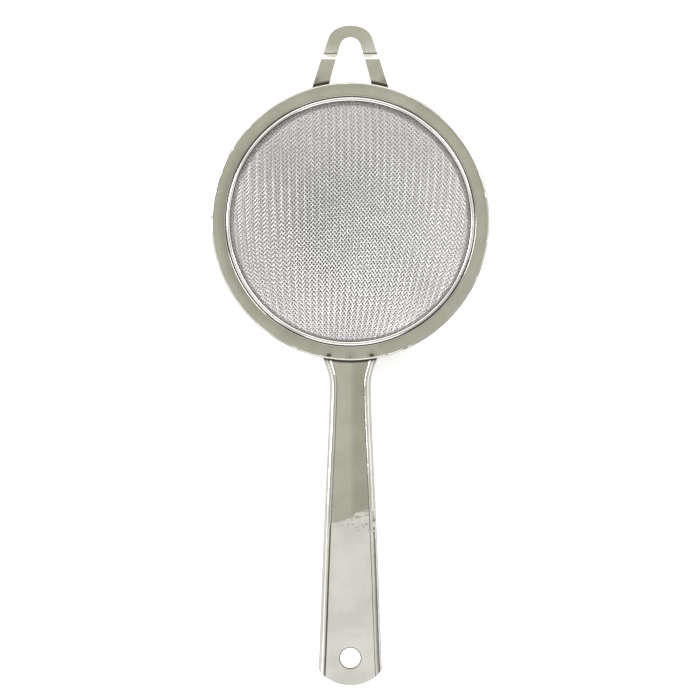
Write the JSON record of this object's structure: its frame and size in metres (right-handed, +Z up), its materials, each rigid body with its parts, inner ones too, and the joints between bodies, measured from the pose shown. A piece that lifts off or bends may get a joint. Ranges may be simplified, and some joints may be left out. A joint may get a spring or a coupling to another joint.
{
  "type": "tea strainer",
  "caption": "Round handled tea strainer: wide hemmed rim, woven wire bowl, pressed channel handle with a hang hole, and a stepped loop that rests on a cup.",
  "frame": {"origin": "centre of the mouth, on the rim's axis, in the plane on which the front rest's legs sit on a cup", "axes": "+Z up along the rim's axis, out of the mouth; handle along -Y; front rest along +Y; X across, the part is symmetric about X = 0"},
  "size_m": [0.08, 0.1903, 0.0268],
  "materials": {
    "rim_steel": "polished stainless sheet",
    "clamp_steel": "bright polished stainless sheet",
    "mesh_wire": "bright drawn stainless wire, woven in twill",
    "handle_steel": "polished stainless sheet",
    "rest_steel": "polished stainless sheet",
    "weld_steel": "heat-tinted weld metal"
  },
  "bodies": {
    "root": {"rim_band": "rim_steel", "clamp_ring": "clamp_steel", "mesh_bowl": "mesh_wire", "handle": "handle_steel", "front_rest": "rest_steel", "handle_spot_welds": "weld_steel", "front_rest_spot_welds": "weld_steel"}
  },
  "joints": []
}
